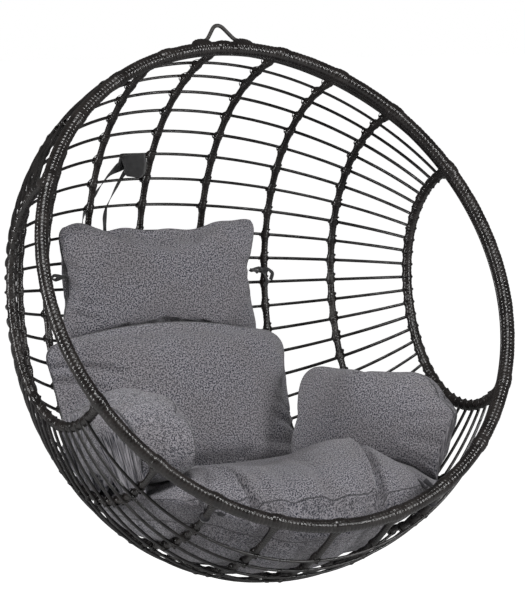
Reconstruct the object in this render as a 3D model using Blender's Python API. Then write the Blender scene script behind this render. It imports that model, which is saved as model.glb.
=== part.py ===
"""Hanging egg chair: a round front hoop, a caged back of ribs and strands, and loose cushions.

Metres, +Z up, front towards -Y. The origin is where a hook bears in the hanging eye, and the
basket is modelled at the tilt it hangs at. Points on the basket are first worked out in hoop
axes: x across, v up in the plane of the hoop, m behind that plane.
"""
import math

import bmesh
import bpy
import numpy as np
from mathutils import Vector

# Driving dimensions, in metres and radians
HOOP_R = 0.511              # centre line of the front hoop
HOOP_TUBE = 0.013           # radius of the hoop with its wicker wrap
RIB_TUBE = 0.0065
ARCH_TUBE = 0.0085
STRAND_TUBE = 0.0028
EYE_TUBE = 0.004
GAP = 0.0003                # clearance between pieces that touch
TILT = math.radians(26.8)   # how far the hoop leans back
ARCH_X = 0.455              # side arches stand in the planes x = +-ARCH_X
RIB_STEP = math.radians(15)  # ribs meet the hoop every 15 degrees

# Back depth of the basket: radius at angle phi is HOOP_R + sum of BULGE[i] sin((i + 1) phi)
BULGE = (0.102, -0.010, 0.015)

# Strands cross the back at these angles, measured from the top of the hoop
STRAND_FIRST = math.radians(7.0)
BACK_PITCH = math.radians(5.5)
BACK_STRANDS = 24
FLOOR_PITCH = math.radians(4.95)
FLOOR_STRANDS = 7

EYE_RISE = 0.0504           # eye's crown above the hoop's centre line, in the hoop's plane
EYE_BEND = 0.014            # radius of the eye's round top
EYE_FOOT = 0.058            # how far each foot lies along the hoop

STRAP_X = -0.040            # the pillow's strap hangs left of the middle rib
STRAP_DROP = 0.042          # length of its flap inside the basket

# The hook bears under the eye's crown, so this is the hoop's centre in the part's frame
UP_V = np.array([0.0, math.sin(TILT), math.cos(TILT)])
BACK_M = np.array([0.0, math.cos(TILT), -math.sin(TILT)])
HOOP_CENTRE = -(HOOP_R + EYE_RISE - EYE_TUBE) * UP_V

# The seat, back and arm cushions lift out at the first angle above the hoop's own axis, and the
# head pillow at the second
SET_LIFT = math.radians(25)
PILLOW_LIFT = math.radians(10)

# Cushions stay inside this fraction of the basket and this radius of the hoop's opening
BASKET_FILL = 0.972
MOUTH_R = 0.478

WICKER = (0.022, 0.019, 0.018, 1.0)
STEEL = (0.045, 0.042, 0.040, 1.0)
WEBBING = (0.012, 0.012, 0.013, 1.0)
FABRIC = (0.115, 0.118, 0.135, 1.0)


def clear_scene():
    for obj in list(bpy.data.objects):
        bpy.data.objects.remove(obj)


def hoop_frame_to_part(x, v, m):
    """Point in the part's frame of hoop coordinates x, v and m."""
    return HOOP_CENTRE + np.array([x, 0.0, 0.0]) + v * UP_V + m * BACK_M


def reach(phi):
    """Radius of the middle rib at angle phi from the hoop's top."""
    return HOOP_R + sum(b * math.sin((i + 1) * phi) for i, b in enumerate(BULGE))


def reach_slope(phi):
    return sum(b * (i + 1) * math.cos((i + 1) * phi) for i, b in enumerate(BULGE))


def shrink(x):
    """Every rib is the middle rib scaled down to meet the round hoop."""
    return math.sqrt(max(1.0 - (x / HOOP_R) ** 2, 0.0))


def basket_point(x, phi, offset=0.0):
    """Point on the basket's surface, moved outwards along the surface normal by offset."""
    w, r = shrink(x), reach(phi)
    c, s = math.cos(phi), math.sin(phi)
    point = np.array([x, w * r * c, w * r * s])
    if offset:
        along_x = np.array([1.0, -x / (HOOP_R ** 2 * w) * r * c, -x / (HOOP_R ** 2 * w) * r * s])
        dr = reach_slope(phi)
        along_phi = np.array([0.0, w * (dr * c - r * s), w * (dr * s + r * c)])
        normal = np.cross(along_phi, along_x)
        normal *= math.copysign(1.0, normal @ point) / np.linalg.norm(normal)
        point = point + offset * normal
    return hoop_frame_to_part(*point)


def strand_angles():
    back = [STRAND_FIRST + BACK_PITCH * i for i in range(BACK_STRANDS)]
    return back + [back[-1] + FLOOR_PITCH * (i + 1) for i in range(FLOOR_STRANDS)]


def tie_angles():
    """Where ties go round a rib: beside the head pillow, and below the seat's front edge."""
    angles = strand_angles()
    return (angles[10] + angles[11]) / 2, angles[-1] + FLOOR_PITCH


def material(name, colour, roughness, metallic=0.0):
    mat = bpy.data.materials.new(name)
    mat.use_nodes = True
    shader = mat.node_tree.nodes["Principled BSDF"]
    shader.inputs["Base Color"].default_value = colour
    shader.inputs["Roughness"].default_value = roughness
    shader.inputs["Metallic"].default_value = metallic
    return mat


def empty(name, place):
    obj = bpy.data.objects.new(name, None)
    obj.location = place
    bpy.context.scene.collection.objects.link(obj)
    return obj


def add_object(name, data, parent, mat):
    obj = bpy.data.objects.new(name, data)
    bpy.context.scene.collection.objects.link(obj)
    obj.parent = parent
    data.materials.append(mat)
    return obj


def tube(name, points, radius, parent, mat, sides=6, closed=False):
    """Round bar along the points: a curve with a bevel and filled ends."""
    curve = bpy.data.curves.new(name, "CURVE")
    curve.dimensions = "3D"
    curve.bevel_depth = radius
    curve.bevel_resolution = sides // 2 - 2
    curve.use_fill_caps = True
    curve.resolution_u = 1
    curve.render_resolution_u = 0
    spline = curve.splines.new("POLY")
    spline.points.add(len(points) - 1)
    spline.use_cyclic_u = closed
    spline.use_smooth = True
    origin = np.array(parent.location)
    for spot, point in zip(spline.points, points):
        spot.co = (*(point - origin), 1.0)
    return add_object(name, curve, parent, mat)


def ribbon(name, points, across, width, thick, parent, mat):
    """Flat tape: a rectangle carried along the points, with its width along across[i]."""
    origin = np.array(parent.location)
    bm = bmesh.new()
    rings = []
    last = len(points) - 1
    for i, point in enumerate(points):
        run = points[min(i + 1, last)] - points[max(i - 1, 0)]
        side = across[i] - run * (across[i] @ run) / (run @ run)
        side = side / np.linalg.norm(side) * width / 2
        up = np.cross(run, side)
        up = up / np.linalg.norm(up) * thick / 2
        corners = (-side - up, side - up, side + up, -side + up)
        rings.append([bm.verts.new(Vector(point + c - origin)) for c in corners])
    for a, b in zip(rings, rings[1:]):
        for k in range(4):
            bm.faces.new((a[k], a[(k + 1) % 4], b[(k + 1) % 4], b[k]))
    bm.faces.new(rings[0][::-1])
    bm.faces.new(rings[-1])
    bmesh.ops.recalc_face_normals(bm, faces=bm.faces[:])
    mesh = bpy.data.meshes.new(name)
    bm.to_mesh(mesh)
    bm.free()
    return add_object(name, mesh, parent, mat)


def inside_basket(x, y, z, lift):
    """Pull a point, given from the hoop's centre, inside the cage and clear of the hoop's mouth."""
    v = y * math.sin(TILT) + z * math.cos(TILT)
    m = y * math.cos(TILT) - z * math.sin(TILT)
    fill = math.hypot(x / HOOP_R, math.hypot(v, m) / reach(math.atan2(max(m, 1e-6), v)))
    if fill > BASKET_FILL:
        x, v, m = (c * BASKET_FILL / fill for c in (x, v, m))
    rise = m * math.tan(lift)
    mouth = math.hypot(x, v + rise)
    if mouth > MOUTH_R:
        x = x * MOUTH_R / mouth
        v = (v + rise) * MOUTH_R / mouth - rise
    return hoop_frame_to_part(x, v, m)


def cushion(name, centre, half, lean, power, parent, mat, turn=0.0, lift=SET_LIFT):
    """Rounded block pulled inside the basket. lean tips its top back, turn swings it in plan."""
    bm = bmesh.new()
    bmesh.ops.create_uvsphere(bm, u_segments=20, v_segments=12, radius=1.0)
    origin = np.array(parent.location)
    for vert in bm.verts:
        a, b, c = vert.co
        swell = (abs(a) ** power + abs(b) ** power + abs(c) ** power) ** (-1.0 / power)
        x, y, z = a * swell * half[0], b * swell * half[1], c * swell * half[2]
        y, z = (y * math.cos(lean) + z * math.sin(lean), z * math.cos(lean) - y * math.sin(lean))
        x, y = (x * math.cos(turn) - y * math.sin(turn), x * math.sin(turn) + y * math.cos(turn))
        place = inside_basket(x + centre[0], y + centre[1], z + centre[2], lift)
        vert.co = Vector(place - origin)
    bmesh.ops.recalc_face_normals(bm, faces=bm.faces[:])
    mesh = bpy.data.meshes.new(name)
    bm.to_mesh(mesh)
    bm.free()
    obj = add_object(name, mesh, parent, mat)
    mesh.shade_smooth()
    return obj


def hoop(parent, mat, count=44):
    points = [
        hoop_frame_to_part(HOOP_R * math.sin(a), HOOP_R * math.cos(a), 0.0)
        for a in np.linspace(0.0, 2 * math.pi, count, endpoint=False)
    ]
    tube("hoop", points, HOOP_TUBE, parent, mat, sides=8, closed=True)


def upright(name, x, radius, parent, mat, sides):
    """Rib or arch in the plane x, running from the hoop's top to its bottom behind the seat."""
    clear = HOOP_TUBE + 0.002
    start = math.asin(clear / (shrink(x) * HOOP_R))
    stops = [start]
    bends = strand_angles() + [tie_angles()[1]]
    stops += [a for a in bends if start + 0.03 < a < math.pi - start - 0.03]
    stops += [math.pi - start]
    tube(name, [basket_point(x, a) for a in stops], radius, parent, mat, sides=sides)


def ribs_and_arches(parent, rib_mat, arch_mat):
    names = ("left_3", "left_2", "left_1", "centre", "right_1", "right_2", "right_3")
    for i, name in enumerate(names):
        x = HOOP_R * math.sin((i - 3) * RIB_STEP)
        upright("rib_" + name, x, RIB_TUBE, parent, rib_mat, sides=6)
    upright("arch_left", -ARCH_X, ARCH_TUBE, parent, arch_mat, sides=8)
    upright("arch_right", ARCH_X, ARCH_TUBE, parent, arch_mat, sides=8)


def strand_points(phi):
    """Side-to-side strand lying on the outer side of the ribs and over both arches."""
    over_rib = RIB_TUBE + STRAND_TUBE + GAP
    over_arch = ARCH_TUBE + STRAND_TUBE + GAP
    outer_rib = 3 * RIB_STEP
    arch = math.asin(ARCH_X / HOOP_R)
    turns = [i * RIB_STEP / 2 for i in range(7)] + [(outer_rib + arch) / 2, arch]
    right = []
    for turn in turns:
        share = max(turn - outer_rib, 0.0) / (arch - outer_rib)
        right.append((HOOP_R * math.sin(turn), over_rib + share * (over_arch - over_rib)))
    half = [basket_point(x, phi, off) for x, off in right]
    tail = half[-1] - half[-2]
    half.append(half[-1] + tail / np.linalg.norm(tail) * ARCH_TUBE)
    mirror = np.array([-1.0, 1.0, 1.0])
    return [p * mirror for p in half[:0:-1]] + half


def strands(parent, mat):
    for i, phi in enumerate(strand_angles()):
        tube("strand_%02d" % (i + 1), strand_points(phi), STRAND_TUBE, parent, mat)


def hanging_eye(parent, mat):
    """Bent rod in the hoop's plane: a round-topped loop whose two feet lie along the hoop."""
    foot_r = HOOP_R + HOOP_TUBE + EYE_TUBE + GAP
    foot = [
        (foot_r * math.sin(a), foot_r * math.cos(a))
        for a in np.linspace(EYE_FOOT, 0.036, 3) / foot_r
    ]
    leg = [(0.0305, foot_r + 0.0025), (0.0255, foot_r + 0.0085)]
    centre_v = HOOP_R + EYE_RISE - EYE_BEND
    top = [
        (EYE_BEND * math.cos(a), centre_v + EYE_BEND * math.sin(a))
        for a in np.linspace(math.radians(25), math.radians(90), 5)
    ]
    half = foot + leg + top
    outline = half + [(-x, v) for x, v in half[-2::-1]]
    points = [hoop_frame_to_part(x, v, 0.0) for x, v in outline]
    tube("hanging_eye", points, EYE_TUBE, parent, mat, sides=8)


def pillow_strap(parent, mat):
    """Webbing flap folded over one strand, and two tapes down the outside to the head pillow."""
    phi = strand_angles()[6]
    strand = np.array(strand_points(phi))
    near = [[np.interp(STRAP_X + d, strand[:, 0], strand[:, k]) for k in range(3)]
            for d in (-0.01, 0.0, 0.01)]
    over = np.array(near[1])
    across = np.array(near[2]) - np.array(near[0])
    clear = STRAND_TUBE + 0.0014
    outside = RIB_TUBE + 2 * STRAND_TUBE + 0.0028
    degree = math.radians(1.0)
    fold = [basket_point(STRAP_X, phi + 1.6 * degree, outside)]
    fold += [
        over + np.array([0.0, clear * math.cos(a), clear * math.sin(a)])
        for a in np.linspace(0.0, math.pi, 7)
    ]
    fold += [over + np.array([0.0, -clear, -STRAP_DROP])]
    ribbon("pillow_strap_flap", fold, [across] * len(fold), 0.044, 0.0011, parent, mat)
    route = ((2.3, outside), (5.5, outside), (8.0, outside), (11.0, outside),
             (13.4, 0.007), (15.2, -0.006))
    for name, side in (("left", -1.0), ("right", 1.0)):
        run = [
            basket_point(STRAP_X - 0.0055 * turn + side * (0.013 + 0.0012 * turn),
                         phi + turn * degree, off)
            for turn, off in route
        ]
        tape = "pillow_strap_tape_" + name
        ribbon(tape, run, [across] * len(run), 0.011, 0.001, parent, mat)


def ring_tie(name, centre, axis, radius, width, parent, mat):
    """Tape bound round a bar: a flat ring left open a little on one side."""
    axis = axis / np.linalg.norm(axis)
    first = np.cross(axis, np.array([0.0, 0.0, 1.0]))
    first = first / np.linalg.norm(first)
    second = np.cross(axis, first)
    angles = np.linspace(math.radians(12), math.radians(348), 15)
    ring = [centre + radius * (math.cos(a) * first + math.sin(a) * second) for a in angles]
    ribbon(name, ring, [axis] * len(ring), width, 0.0014, parent, mat)


def ties(parent, mat):
    """Tapes that hold the pillow's ends and the seat's front corners to the ribs they lie beside."""
    beside_pillow, under_seat = tie_angles()
    for piece, angle, width in (("pillow", beside_pillow, 0.010), ("seat", under_seat, 0.012)):
        for name, side in (("left", -1.0), ("right", 1.0)):
            x = side * HOOP_R * math.sin(2 * RIB_STEP)
            along = basket_point(x, angle + 0.02) - basket_point(x, angle - 0.02)
            middle = basket_point(x, angle)
            tie = piece + "_tie_" + name
            ring_tie(tie, middle, along, RIB_TUBE + 0.0022, width, parent, mat)


def cushions(set_parent, pillow_parent, mat):
    """Five soft pieces, placed from the hoop's centre: across, back and up."""
    cushion("seat_cushion", (0.0, 0.075, -0.478), (0.375, 0.250, 0.118), 0.0, 2.6, set_parent, mat)
    cushion("back_cushion", (0.0, 0.394, -0.255), (0.277, 0.062, 0.148), math.radians(17), 2.8,
            set_parent, mat)
    cushion("arm_cushion_left", (-0.315, 0.135, -0.284), (0.097, 0.212, 0.102), 0.0, 2.6,
            set_parent, mat, turn=math.radians(-5))
    cushion("arm_cushion_right", (0.320, 0.140, -0.284), (0.088, 0.212, 0.104), 0.0, 2.6,
            set_parent, mat, turn=math.radians(9))
    cushion("head_pillow", (0.0, 0.512, -0.021), (0.230, 0.040, 0.121), math.radians(4), 3.0,
            pillow_parent, mat, lift=PILLOW_LIFT)


def build():
    clear_scene()
    basket = empty("basket", (0.0, 0.0, 0.0))
    seat_anchor = empty("cushion_set", tuple(hoop_frame_to_part(0.0, -0.25, 0.25)))
    pillow_anchor = empty("pillow_slide", tuple(hoop_frame_to_part(0.0, 0.20, 0.45)))
    wicker = material("wicker", WICKER, 0.38)
    steel = material("eye_steel", STEEL, 0.42, 0.3)
    webbing = material("webbing", WEBBING, 0.8)
    fabric = material("cushion_fabric", FABRIC, 0.92)
    hoop(basket, wicker)
    hanging_eye(basket, steel)
    ribs_and_arches(basket, wicker, wicker)
    strands(basket, wicker)
    pillow_strap(basket, webbing)
    ties(basket, webbing)
    cushions(seat_anchor, pillow_anchor, fabric)


build()
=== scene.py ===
# %% [markdown]
# # Hanging egg chair
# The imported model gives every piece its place. This script gives the pieces their looks: bound
# wicker, a bent steel eye, webbing and stuffed cushions. Each step says what the piece is on the
# real chair, how it could be made in Blender, and why this way was taken.

import math

import bpy
import numpy as np
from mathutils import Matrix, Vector


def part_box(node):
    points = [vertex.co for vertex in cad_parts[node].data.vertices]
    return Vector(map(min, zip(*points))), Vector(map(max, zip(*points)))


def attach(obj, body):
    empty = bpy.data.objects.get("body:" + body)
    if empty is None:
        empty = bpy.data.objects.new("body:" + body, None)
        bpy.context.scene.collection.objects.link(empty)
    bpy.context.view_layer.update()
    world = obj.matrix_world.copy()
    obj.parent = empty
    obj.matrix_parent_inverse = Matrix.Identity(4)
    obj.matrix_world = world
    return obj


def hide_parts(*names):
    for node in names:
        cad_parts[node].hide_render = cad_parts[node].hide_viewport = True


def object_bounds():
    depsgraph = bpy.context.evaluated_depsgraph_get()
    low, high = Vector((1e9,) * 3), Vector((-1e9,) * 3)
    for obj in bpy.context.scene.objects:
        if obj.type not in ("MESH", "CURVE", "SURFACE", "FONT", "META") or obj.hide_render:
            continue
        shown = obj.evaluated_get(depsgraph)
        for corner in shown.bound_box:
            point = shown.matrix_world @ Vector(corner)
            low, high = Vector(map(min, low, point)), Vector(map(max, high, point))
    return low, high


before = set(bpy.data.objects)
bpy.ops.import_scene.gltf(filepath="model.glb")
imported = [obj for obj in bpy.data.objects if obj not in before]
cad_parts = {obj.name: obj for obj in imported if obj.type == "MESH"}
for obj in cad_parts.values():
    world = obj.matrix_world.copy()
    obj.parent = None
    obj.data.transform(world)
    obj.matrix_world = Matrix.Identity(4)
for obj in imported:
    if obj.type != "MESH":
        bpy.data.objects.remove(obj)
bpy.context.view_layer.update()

# %% [markdown]
# ## The basket as a formula
# Every rib is the middle rib scaled down until its ends meet the round hoop, so one profile and
# one circle describe the whole cage. The cage could be traced curve by curve, but a formula lets
# ribs, strands, knots and cushions all ask for the same surface. Points are worked out in the
# hoop's own axes, x across, v up in its plane and m behind it, and then leaned back with the hoop.

# %% Basket formula
TILT = math.radians(26.8)
HOOP_TUBE, RIB_TUBE, ARCH_TUBE, STRAND_TUBE, EYE_TUBE = 0.013, 0.0065, 0.0085, 0.0028, 0.004
BULGE = (0.102, -0.010, 0.015)
RIB_STEP = math.radians(15)

UP_V = np.array([0.0, math.sin(TILT), math.cos(TILT)])
BACK_M = np.array([0.0, math.cos(TILT), -math.sin(TILT)])
AXES = np.array([[1.0, 0.0, 0.0], UP_V, BACK_M])
hoop_low, hoop_high = (np.array(corner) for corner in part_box("hoop"))
HOOP_R = (hoop_high[0] - hoop_low[0]) / 2 - HOOP_TUBE
HOOP_CENTRE = (hoop_low + hoop_high) / 2
ARCH_X = sum(corner[0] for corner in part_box("arch_right")) / 2
FIRST_STRAND, BACK_PITCH, FLOOR_PITCH = 7.0, 5.5, 4.95
LAST_BACK_STRAND = FIRST_STRAND + 23 * BACK_PITCH
STRAND_ANGLES = np.radians([FIRST_STRAND + BACK_PITCH * i for i in range(24)]
                           + [LAST_BACK_STRAND + FLOOR_PITCH * i for i in range(1, 8)])


def to_chair(points):
    """Chair-frame places of hoop-frame points (x, v, m), one per row."""
    return HOOP_CENTRE + np.asarray(points) @ AXES


def reach(phi):
    """Middle rib's radius at angle phi from the hoop's top: a circle plus three sine waves."""
    return HOOP_R + sum(b * np.sin((i + 1) * phi) for i, b in enumerate(BULGE))


def reach_slope(phi):
    return sum(b * (i + 1) * np.cos((i + 1) * phi) for i, b in enumerate(BULGE))


def basket(x, phi):
    """Surface points and outward unit normals in the hoop's axes, for matching arrays x and phi.

    A point is (x, w r cos phi, w r sin phi): r is the middle rib's radius, and
    w = sqrt(1 - (x / R)^2) shrinks it towards the sides. The normal is the cross product of the
    two slopes, turned to point away from the centre.
    """
    x, phi = np.broadcast_arrays(np.asarray(x, float), np.asarray(phi, float))
    w = np.sqrt(np.maximum(1.0 - (x / HOOP_R) ** 2, 1e-4))
    r, dr, c, s = reach(phi), reach_slope(phi), np.cos(phi), np.sin(phi)
    point = np.stack([x, w * r * c, w * r * s], -1)
    dw = -x / (HOOP_R ** 2 * w)
    along_x = np.stack([np.ones_like(x), dw * r * c, dw * r * s], -1)
    along_phi = np.stack([0 * x, w * (dr * c - r * s), w * (dr * s + r * c)], -1)
    normal = np.cross(along_phi, along_x)
    normal *= np.sign((normal * point).sum(-1, keepdims=True))
    return point, normal / np.linalg.norm(normal, axis=-1, keepdims=True)


print("hoop radius %.3f m, arches at x = %.3f m" % (HOOP_R, ARCH_X))

# %% [markdown]
# ## Surfaces from arrays
# A bound tube, a strand or a tape is a ring of points carried along a path. A curve's bevel could
# carry a plain ring, but not one that swells over knots and ridges, so the rings are worked out
# as one array and put into a mesh in a single call.


# %% Mesh helpers
def put_mesh(name, points, quads, tris=None, uv=None):
    """New mesh object from arrays of points, four-cornered faces and, if given, triangles."""
    tris = np.zeros((0, 3), int) if tris is None else tris
    corners = np.concatenate([quads.ravel(), tris.ravel()]).astype(np.int32)
    starts = np.concatenate([np.arange(len(quads)) * 4, 4 * len(quads) + np.arange(len(tris)) * 3])
    mesh = bpy.data.meshes.new(name)
    mesh.vertices.add(len(points))
    mesh.vertices.foreach_set("co", np.asarray(points, np.float32).ravel())
    mesh.loops.add(len(corners))
    mesh.loops.foreach_set("vertex_index", corners)
    mesh.polygons.add(len(starts))
    mesh.polygons.foreach_set("loop_start", starts.astype(np.int32))
    mesh.update(calc_edges=True)
    mesh.shade_smooth()
    if uv is not None:
        layer = mesh.uv_layers.new(name="UVMap")
        layer.data.foreach_set("uv", np.asarray(uv, np.float32)[corners].ravel())
    obj = bpy.data.objects.new(name, mesh)
    bpy.context.scene.collection.objects.link(obj)
    return obj


def unit(a):
    """Rows of an array scaled to length 1."""
    return a / np.linalg.norm(a, axis=-1, keepdims=True)


def grid_quads(rows, cols, join_rows=False, join_cols=False):
    """Faces of a rows by cols grid of points, with its first and last lines joined if asked."""
    index = np.arange(rows * cols).reshape(rows, cols)
    if join_rows:
        index = np.vstack([index, index[:1]])
    if join_cols:
        index = np.hstack([index, index[:, :1]])
    corners = (index[:-1, :-1], index[:-1, 1:], index[1:, 1:], index[1:, :-1])
    return np.stack([c.ravel() for c in corners], -1)


def sweep_arrays(path, facing, section, closed=False):
    """Points, faces and UV of a section carried along a path.

    section[i, j] is corner j at step i, as (outwards, sideways) lengths: outwards is facing[i]
    made square to the path, and sideways is square to both. An open sweep's two ends are closed
    by fans. The UV map is in metres: along the path, and round the section.
    """
    path, facing, section = (np.asarray(a, float) for a in (path, facing, section))
    run = unit(np.roll(path, -1, 0) - np.roll(path, 1, 0) if closed else np.gradient(path, axis=0))
    out = unit(facing - run * (facing * run).sum(-1, keepdims=True))
    side = np.cross(run, out)
    rows, cols = section.shape[:2]
    points = path[:, None] + section[..., :1] * out[:, None] + section[..., 1:] * side[:, None]
    step = np.concatenate([[0], np.cumsum(np.linalg.norm(np.diff(path, axis=0), axis=1))])
    girth = np.linalg.norm(np.diff(section[0], axis=0), axis=1)
    around = np.concatenate([[0], np.cumsum(girth)])
    uv = np.stack(np.broadcast_arrays(step[:, None], around[None]), -1).reshape(-1, 2)
    points, quads, tris = points.reshape(-1, 3), grid_quads(rows, cols, closed, True), None
    if not closed:
        first = np.arange(cols)
        last = first + (rows - 1) * cols
        ends = np.full(cols, len(points))
        tris = np.concatenate([np.stack([ends, np.roll(first, -1), first], -1),
                               np.stack([ends + 1, last, np.roll(last, -1)], -1)])
        points = np.vstack([points, path[:1], path[-1:]])
        uv = np.vstack([uv, uv[:1], uv[-1:]])
    return points, quads, tris, uv


def round_section(radius):
    """Section of a round bar: radius[i, j] at equal turns, as (outwards, sideways) lengths."""
    turn = np.linspace(0, 2 * np.pi, radius.shape[1], endpoint=False)
    return radius[..., None] * np.stack([np.cos(turn), np.sin(turn)], -1)


def join_arrays(parts):
    """Several sweeps as one set of points, faces, triangles and UV."""
    offset, points, quads, tris, uvs = 0, [], [], [], []
    for part_points, part_quads, part_tris, part_uv in parts:
        points.append(part_points)
        quads.append(part_quads + offset)
        if part_tris is not None:
            tris.append(part_tris + offset)
        uvs.append(part_uv)
        offset += len(part_points)
    tris = np.concatenate(tris) if tris else None
    return np.concatenate(points), np.concatenate(quads), tris, np.concatenate(uvs)


def evenly(path, count):
    """The path's points moved to equal distances along it."""
    path = np.asarray(path, float)
    step = np.concatenate([[0], np.cumsum(np.linalg.norm(np.diff(path, axis=0), axis=1))])
    wanted = np.linspace(0, step[-1], count)
    return np.stack([np.interp(wanted, step, path[:, k]) for k in range(path.shape[1])], -1)


def smooth_path(stops, count):
    """A smooth curve through given stops: straight runs rounded by repeated averaging."""
    path = evenly(stops, count)
    for _ in range(count // 6):
        path[1:-1] = (path[:-2] + 2 * path[1:-1] + path[2:]) / 4
    return path


def keep(obj, body, slot, mat, *nodes):
    """File a finished piece: its body, material and the nodes that it stands for. The slot is not used.
    """
    obj.data.materials.clear()
    obj.data.materials.append(mat)
    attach(obj, body)
    if nodes:
        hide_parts(*nodes)
    return obj


print("helpers ready")

# %% [markdown]
# ## Shader building blocks
# Wicker, steel and cloth share a few effects: fine streaks that run one way, and slow patches of
# lighter and darker colour. Each is a node group with named sockets, built once and given its own
# values in each material. A group puts out only values; the shader stays in the material.


# %% Node helpers
def new_group(name, inputs, outputs):
    """Empty shader group: inputs are (name, kind, value), outputs are names of plain values."""
    tree = bpy.data.node_groups.new(name, "ShaderNodeTree")
    for title, kind, value in inputs:
        made = tree.interface.new_socket(title, in_out="INPUT", socket_type="NodeSocket" + kind)
        if value is not None:
            made.default_value = value
    for title in outputs:
        tree.interface.new_socket(title, in_out="OUTPUT", socket_type="NodeSocketFloat")
    return tree, tree.nodes.new("NodeGroupInput").outputs, tree.nodes.new("NodeGroupOutput").inputs


def add(tree, kind, inputs=None, **settings):
    """New node; each input is set to a value or linked to another node's output socket."""
    node = tree.nodes.new(kind)
    for key, value in settings.items():
        setattr(node, key, value)
    for key, value in (inputs or {}).items():
        if isinstance(value, bpy.types.NodeSocket):
            tree.links.new(value, node.inputs[key])
        else:
            node.inputs[key].default_value = value
    return node


def maths(tree, operation, a, b=0.0):
    """Output of one Math node."""
    return add(tree, "ShaderNodeMath", {0: a, 1: b}, operation=operation).outputs[0]


def remap(tree, value, low, high, to_low=0.0, to_high=1.0):
    """Value from the range low..high spread smoothly over to_low..to_high."""
    settings = {"From Min": low, "From Max": high, "To Min": to_low, "To Max": to_high}
    node = add(tree, "ShaderNodeMapRange", settings, interpolation_type="SMOOTHSTEP")
    tree.links.new(value, node.inputs["Value"])
    return node.outputs["Result"]


def mix_colour(tree, factor, a, b):
    return add(tree, "ShaderNodeMix", {0: factor, 6: a, 7: b}, data_type="RGBA").outputs[2]


def new_material(name, **sockets):
    """Material with one Principled shader whose plain values sit on its own sockets."""
    mat = bpy.data.materials.new(name)
    mat.use_nodes = True
    shader = mat.node_tree.nodes["Principled BSDF"]
    for key, value in sockets.items():
        shader.inputs[key.replace("_", " ")].default_value = value
    return mat, mat.node_tree, shader


def feed(tree, shader, socket, output):
    tree.links.new(output, shader.inputs[socket])


def add_bump(tree, shader, height, distance, strength=1.0):
    values = {"Height": height, "Distance": distance, "Strength": strength}
    feed(tree, shader, "Normal", add(tree, "ShaderNodeBump", values).outputs[0])


# %% Shared effects: streaks and patches
streaks, given, out = new_group(
    "fine_streaks",
    [("Place", "Vector", None), ("Across", "Float", 900.0), ("Along", "Float", 60.0)],
    ["Streak", "Fleck"])
sizes = {0: given["Along"], 1: given["Across"], 2: given["Across"]}
stretched = add(streaks, "ShaderNodeCombineXYZ", sizes)
placed = add(streaks, "ShaderNodeVectorMath", {0: given["Place"], 1: stretched.outputs[0]},
             operation="MULTIPLY").outputs[0]
long_noise = add(streaks, "ShaderNodeTexNoise", {"Vector": placed, "Scale": 1.0, "Detail": 3.0})
short_noise = add(streaks, "ShaderNodeTexNoise", {"Vector": placed, "Scale": 3.1, "Detail": 1.0})
streaks.links.new(remap(streaks, long_noise.outputs["Fac"], 0.3, 0.7), out["Streak"])
streaks.links.new(remap(streaks, short_noise.outputs["Fac"], 0.55, 0.75), out["Fleck"])

patches, given, out = new_group(
    "slow_patches", [("Place", "Vector", None), ("Size", "Float", 8.0)], ["Patch"])
cloud = add(patches, "ShaderNodeTexNoise",
            {"Vector": given["Place"], "Scale": given["Size"], "Detail": 4.0, "Roughness": 0.6})
patches.links.new(remap(patches, cloud.outputs["Fac"], 0.32, 0.68), out["Patch"])


def use_group(tree, group, **inputs):
    """A copy of a node group placed in a material with its own values."""
    node = tree.nodes.new("ShaderNodeGroup")
    node.node_tree = group
    for key, value in inputs.items():
        if isinstance(value, bpy.types.NodeSocket):
            tree.links.new(value, node.inputs[key])
        else:
            node.inputs[key].default_value = value
    return node.outputs


print("groups:", [g.name for g in bpy.data.node_groups])

# %% [markdown]
# ## Wicker
# The frame is bound in flat plastic wicker, extruded in a very dark brown and a little glossy,
# and the strands are round wicker of the same plastic. The gloss shows as one bright dot on every
# turn of tape. That comes from the shape and the lights, so the material only adds the extruder's
# fine streaks, which run along the tape and so round the bar, and a dusty, rubbed variation.


# %% Wicker materials
def wicker_material(name, dark, light, roughness, along_path):
    """Dark plastic with streaks along the path (round strand) or round it (bound tape)."""
    mat, tree, shader = new_material(name, Specular_IOR_Level=0.5)
    uv = add(tree, "ShaderNodeTexCoord").outputs["UV"]
    turn = 0.0 if along_path else math.radians(90)
    aligned = add(tree, "ShaderNodeMapping", {"Vector": uv, "Rotation": (0.0, 0.0, turn)}).outputs[0]
    grain = use_group(tree, streaks, Place=aligned, Across=1500.0, Along=70.0)
    place = add(tree, "ShaderNodeTexCoord").outputs["Object"]
    rubbed = use_group(tree, patches, Place=place, Size=26.0)
    tone = maths(tree, "MULTIPLY", grain["Streak"], rubbed["Patch"])
    feed(tree, shader, "Base Color", mix_colour(tree, tone, dark, light))
    feed(tree, shader, "Roughness", remap(tree, rubbed["Patch"], 0.0, 1.0, roughness, roughness + 0.12))
    add_bump(tree, shader, grain["Streak"], 0.00012, 0.6)
    return mat


BOUND_WICKER = wicker_material(
    "bound_wicker", (0.0070, 0.0058, 0.0055, 1), (0.026, 0.021, 0.019, 1), 0.20, False)
ROUND_WICKER = wicker_material(
    "round_wicker", (0.0060, 0.0054, 0.0052, 1), (0.022, 0.019, 0.018, 1), 0.27, True)
print("wicker:", BOUND_WICKER.name, ROUND_WICKER.name)

# %% [markdown]
# ## Bound bars
# Hoop, arches and ribs are steel tubes wound with flat tape, each turn a crowned band with a
# groove beside it. The tape could be a separate ribbon wound in a helix, but its edges never show.
# One closed skin whose radius rises and falls once a turn has the same look and no loose faces.


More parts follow.
